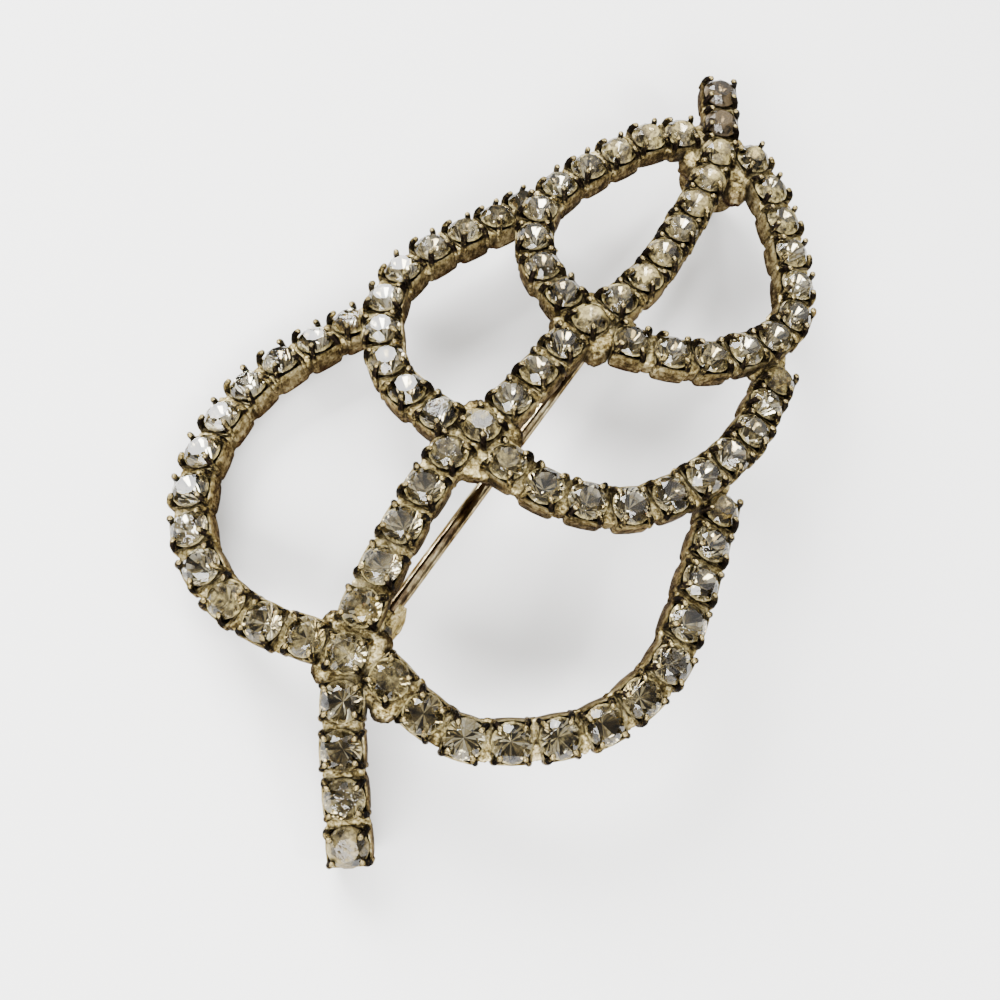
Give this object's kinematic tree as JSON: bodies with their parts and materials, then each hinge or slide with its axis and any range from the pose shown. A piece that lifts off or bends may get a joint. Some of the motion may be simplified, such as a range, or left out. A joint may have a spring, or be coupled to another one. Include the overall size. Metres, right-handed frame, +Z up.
{
  "type": "leaf brooch",
  "caption": "Leaf-shaped brooch of clawed cup chain: a midrib and open loops of round clear cut stones, with a hinged pin stem and a catch behind it.",
  "frame": {"origin": "On the surface that the brooch lies on, under the middle of its box", "axes": "+Z up, out of the leaf's face; +Y along the midrib to the leaf's tip; +X to the right as the face is seen"},
  "size_m": [0.0404, 0.0742, 0.0108],
  "materials": {
    "brass": "worn plating, tarnished, dark in the corners",
    "clear_glass": "cut, foiled behind, clouded with age",
    "old_copper": "worn to copper, with dark tarnish"
  },
  "bodies": {
    "brooch": {"leaf_frame": "brass", "rib_stones": "clear_glass", "tip_loop_stones": "clear_glass", "middle_loop_stones": "clear_glass", "base_loop_stones": "clear_glass"},
    "pin": {"pin_stem": "old_copper"}
  },
  "joints": [
    {"name": "pin_hinge", "type": "hinge", "parent": "brooch", "child": "pin", "pos_m": [-0.00068, -0.02056, 0.00437], "axis": [-0.984, 0.1387, -0.1117], "range_deg": [0, 100]}
  ]
}
